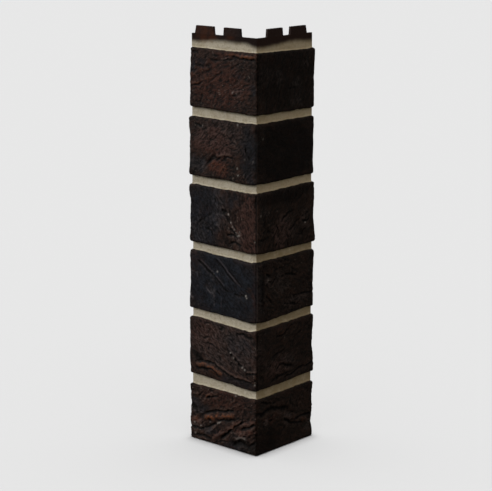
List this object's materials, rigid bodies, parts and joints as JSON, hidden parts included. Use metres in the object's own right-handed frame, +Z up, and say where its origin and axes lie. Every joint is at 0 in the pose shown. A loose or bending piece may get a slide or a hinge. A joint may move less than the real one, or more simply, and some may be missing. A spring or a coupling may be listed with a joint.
{
  "type": "brick-effect corner cladding strip",
  "caption": "L-shaped moulded corner strip with stacked brick faces, sunk joints and an interlocking tabbed lip, for cladding an outside wall corner.",
  "frame": {"origin": "centre of the footprint's box on the lowest edge of the strip", "axes": "+Z up along the corner; +X along the left flange towards the arris; +Y along the right flange away from the arris, which stands at the +X, -Y corner of the box"},
  "size_m": [0.0904, 0.088, 0.4326],
  "materials": {
    "moulding": "moulded polypropylene with a rough clay-brick texture, painted very dark brown to black, with beige-grey painted joints"
  },
  "bodies": {
    "root": {"corner_panel": "moulding"}
  },
  "joints": []
}
